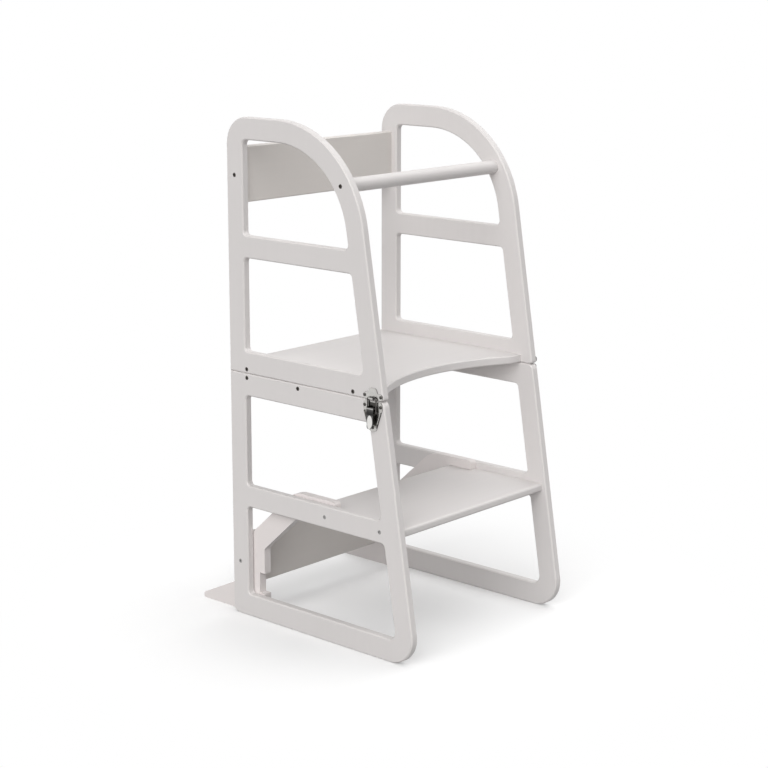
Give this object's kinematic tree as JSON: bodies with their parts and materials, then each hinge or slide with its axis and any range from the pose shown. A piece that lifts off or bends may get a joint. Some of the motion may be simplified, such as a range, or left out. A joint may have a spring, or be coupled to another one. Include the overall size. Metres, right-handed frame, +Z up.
{
  "type": "toddler kitchen helper stool",
  "caption": "Painted plywood toddler helper tower that folds on rear hinges into a low table, with side toggle latches and a step.",
  "frame": {"origin": "on the floor, under the middle of the box round the whole object", "axes": "+X to the right side, +Y to the rear (the hinges), +Z up"},
  "size_m": [0.4352, 0.5296, 0.9],
  "materials": {
    "painted_wood": "satin",
    "dark_screw": "satin",
    "hinge_steel": "satin",
    "latch_chrome": "polished"
  },
  "bodies": {
    "lower_unit": {"side_panel_lower_left": "painted_wood", "side_panel_lower_right": "painted_wood", "table_board": "painted_wood", "step_board": "painted_wood", "rear_cross_board": "painted_wood", "stabiliser_foot_left": "painted_wood", "stabiliser_foot_right": "painted_wood", "panel_screws_lower": "dark_screw", "stabiliser_screws": "dark_screw", "hinge_leaf_lower_left": "hinge_steel", "hinge_leaf_lower_right": "hinge_steel", "hinge_pin_left": "hinge_steel", "hinge_pin_right": "hinge_steel", "hinge_screws_lower": "hinge_steel", "latch_base_left": "latch_chrome", "latch_base_right": "latch_chrome", "latch_lever_pin_left": "latch_chrome", "latch_lever_pin_right": "latch_chrome", "latch_screws_lower": "latch_chrome"},
    "upper_unit": {"side_panel_upper_left": "painted_wood", "side_panel_upper_right": "painted_wood", "platform_board": "painted_wood", "backrest_board": "painted_wood", "front_rail": "painted_wood", "panel_screws_upper": "dark_screw", "hinge_leaf_upper_left": "hinge_steel", "hinge_leaf_upper_right": "hinge_steel", "hinge_screws_upper": "hinge_steel", "latch_catch_left": "latch_chrome", "latch_catch_right": "latch_chrome", "latch_screws_upper": "latch_chrome"},
    "lever_left": {"latch_lever_left": "latch_chrome"},
    "bail_pin_left": {"latch_bail_pin_left": "latch_chrome"},
    "bail_left": {"latch_bail_left": "latch_chrome"},
    "lever_right": {"latch_lever_right": "latch_chrome"},
    "bail_pin_right": {"latch_bail_pin_right": "latch_chrome"},
    "bail_right": {"latch_bail_right": "latch_chrome"}
  },
  "joints": [
    {"name": "unit_fold", "type": "hinge", "parent": "lower_unit", "child": "upper_unit", "pos_m": [0, 0.17102, 0.45075], "axis": [-1, 0, 0], "range_deg": [0, 180]},
    {"name": "lever_swing_left", "type": "hinge", "parent": "lower_unit", "child": "lever_left", "pos_m": [-0.212, -0.17668, 0.43825], "axis": [0, 1, 0], "range_deg": [0, 100]},
    {"name": "bail_pin_turn_left", "type": "hinge", "parent": "lever_left", "child": "bail_pin_left", "pos_m": [-0.2108, -0.17668, 0.43125], "axis": [0, -1, 0], "range_deg": [0, 80]},
    {"name": "bail_swing_left", "type": "hinge", "parent": "bail_pin_left", "child": "bail_left", "pos_m": [-0.2108, -0.17668, 0.43125], "axis": [0, -1, 0], "range_deg": [0, 80]},
    {"name": "lever_swing_right", "type": "hinge", "parent": "lower_unit", "child": "lever_right", "pos_m": [0.212, -0.17668, 0.43825], "axis": [0, -1, 0], "range_deg": [0, 100]},
    {"name": "bail_pin_turn_right", "type": "hinge", "parent": "lever_right", "child": "bail_pin_right", "pos_m": [0.2108, -0.17668, 0.43125], "axis": [0, 1, 0], "range_deg": [0, 80]},
    {"name": "bail_swing_right", "type": "hinge", "parent": "bail_pin_right", "child": "bail_right", "pos_m": [0.2108, -0.17668, 0.43125], "axis": [0, 1, 0], "range_deg": [0, 80]}
  ],
  "couplings": [
    {"joint": "bail_pin_turn_left", "follows": "lever_swing_left", "ratio": 0.8},
    {"joint": "bail_pin_turn_right", "follows": "lever_swing_right", "ratio": 0.8}
  ]
}
